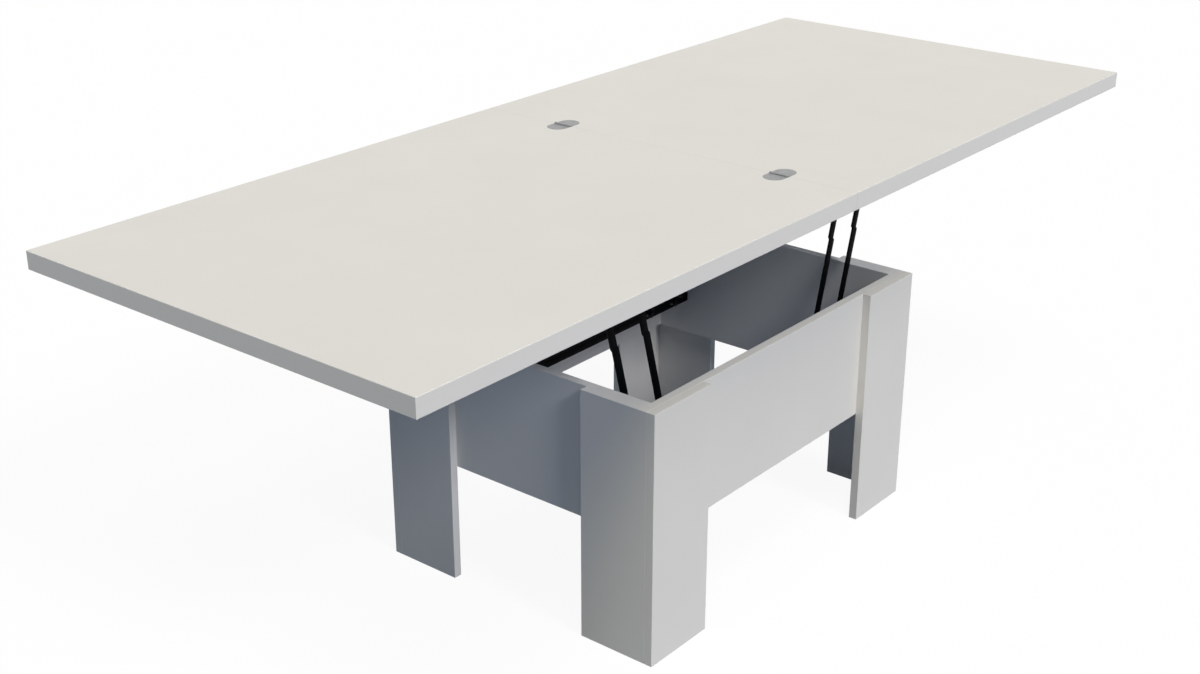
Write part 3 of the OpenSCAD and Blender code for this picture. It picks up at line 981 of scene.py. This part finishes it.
def soften(cad_part, width_mm):
    """A copy of a CAD part whose sharp edges have a bevel of this width."""
    bm = merged_copy(cad_part)
    bmesh.ops.dissolve_limit(bm, angle_limit=FLAT, verts=bm.verts, edges=bm.edges)
    sharp = [edge for edge in bm.edges
             if len(edge.link_faces) == 2 and edge.calc_face_angle() > EDGE_ANGLE]
    bmesh.ops.bevel(bm, geom=sharp, offset=width_mm * MM, offset_type="OFFSET", affect="EDGES",
                    segments=EDGE_SEGMENTS, profile=0.5, material=-1, clamp_overlap=True)
    return piece(cad_part + "_finished", bm, cad_part)


EDGE_WIDTH_MM = {
    "lift_lever_near": 0.4,
    "lift_lever_far": 0.4,
    "lift_arm_near": 0.4,
    "lift_arm_far": 0.4,
    "support_lever_near": 0.4,
    "support_lever_far": 0.4,
    "support_arm_near": 0.4,
    "support_arm_far": 0.4,
    "base_rail_near": 0.6,
    "base_rail_far": 0.6,
    "top_rail_near": 0.6,
    "top_rail_far": 0.6,
    "support_rail_near": 0.6,
    "support_rail_far": 0.6,
    "support_cross_tubes": 0.6,
    "torsion_tube": 0.3,
    "hinge_plates_fixed": 0.25,
    "hinge_plates_leaf": 0.25,
    "hinge_pins": 0.2,
    "stop_buffers": 0.8,
    "rest_pads": 0.5,
    "lower_spacers": 0.15,
    "lift_upper_washers": 0.15,
    "support_washers": 0.15,
    "glide_pads": 0.4,
}
for cad_part, width_mm in EDGE_WIDTH_MM.items():
    made = soften(cad_part, width_mm)
    print(made.name, width_mm, "mm,", len(made.data.polygons), "faces")

# %% [markdown]
# ### Weld beads
# The steel frame is welded: the end plates to the base rails, the torsion tube to
# its levers, the cross tubes to the rails of the sliding frame. A weld laid by
# hand is a row of small ripples, each a puddle of steel that set a moment after
# the last. A ripple is one low dome of only forty faces, and a row of them
# overlaps by half. The powder coat runs over rails and welds alike.

# %% Weld beads
RIPPLE_R = 1.5
RIPPLE_PITCH = 1.6
RIPPLE_HEIGHT = 0.7
RIPPLE_SIDES = 8
RIPPLE_ROWS = 5
ANGLE_WALL = 3.0  # the steel angle of a base rail
ANGLE_FLANGE = 25.0
LEVER_WIDTH = 15.0


def row(start, end):
    """Places of the ripples from start to end, both in metres."""
    count = max(2, round((end - start).length / (RIPPLE_PITCH * MM)))
    return [start.lerp(end, step / count) for step in range(count + 1)]


def weld_beads(name, body, places):
    """A ripple at each place, all in one piece on one body."""
    bm = bmesh.new()
    for place in places:
        ripple = bmesh.ops.create_uvsphere(bm, u_segments=RIPPLE_SIDES, v_segments=RIPPLE_ROWS,
                                           radius=RIPPLE_R * MM)["verts"]
        bmesh.ops.scale(bm, vec=(1, 1, RIPPLE_HEIGHT), verts=ripple)
        bmesh.ops.translate(bm, vec=place, verts=ripple)
    made = new_object(name, bm, black_coat)
    for polygon in made.data.polygons:
        polygon.use_smooth = True
    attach(made, body)
    print(name, len(places), "ripples")


def base_rail_welds(cad_part):
    """Along the inner corners where the two end plates meet the angle."""
    (x0, y0, z0), (x1, y1, z1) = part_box(cad_part)
    wall, flange = ANGLE_WALL * MM, ANGLE_FLANGE * MM
    far = y0 + y1 > 0
    web = y0 + wall if far else y1 - wall
    tip = y0 + flange if far else y1 - flange
    places = []
    for x in (x0 + wall, x1 - wall):
        places += row(Vector((x, web, z0 + wall)), Vector((x, web, z1 - RIPPLE_R * MM)))
        places += row(Vector((x, web, z0 + wall)), Vector((x, tip, z0 + wall)))
    return places


def cross_tube_welds():
    """Down both sides of each tube end, and under it."""
    places = []
    for low, high in solids_of("support_cross_tubes"):
        for y in (low.y, high.y):
            corners = [Vector((x, y, z)) for x, z in
                       ((low.x, high.z), (low.x, low.z), (high.x, low.z), (high.x, high.z))]
            for start, end in zip(corners, corners[1:]):
                places += row(start, end)
    return places


def torsion_tube_welds():
    """A short arc at each end, where the lever crosses the edge of the tube."""
    low, high = solids_of("torsion_tube")[0]
    foot = (low + high) / 2
    radius = (high.z - low.z) / 2
    lever_low, lever_high = (Vector(corner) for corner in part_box("lift_lever_far"))
    run = lever_high.x - lever_low.x - LEVER_WIDTH * MM
    climb = lever_high.z - lever_low.z - LEVER_WIDTH * MM
    lean = math.atan2(-run, climb)
    half = math.asin(LEVER_WIDTH * MM / 2 / radius)
    steps = round(2 * half * radius / (RIPPLE_PITCH * MM))
    turns = [lean - half + 2 * half * step / steps for step in range(steps + 1)]
    return [Vector((foot.x + radius * math.sin(turn), y, foot.z + radius * math.cos(turn)))
            for y in (low.y, high.y) for turn in turns]


rail_ends = base_rail_welds("base_rail_near") + base_rail_welds("base_rail_far")
weld_beads("base_rail_welds", "base", rail_ends)
weld_beads("cross_tube_welds", "support_frame", cross_tube_welds())
weld_beads("torsion_tube_welds", "lift_levers", torsion_tube_welds())
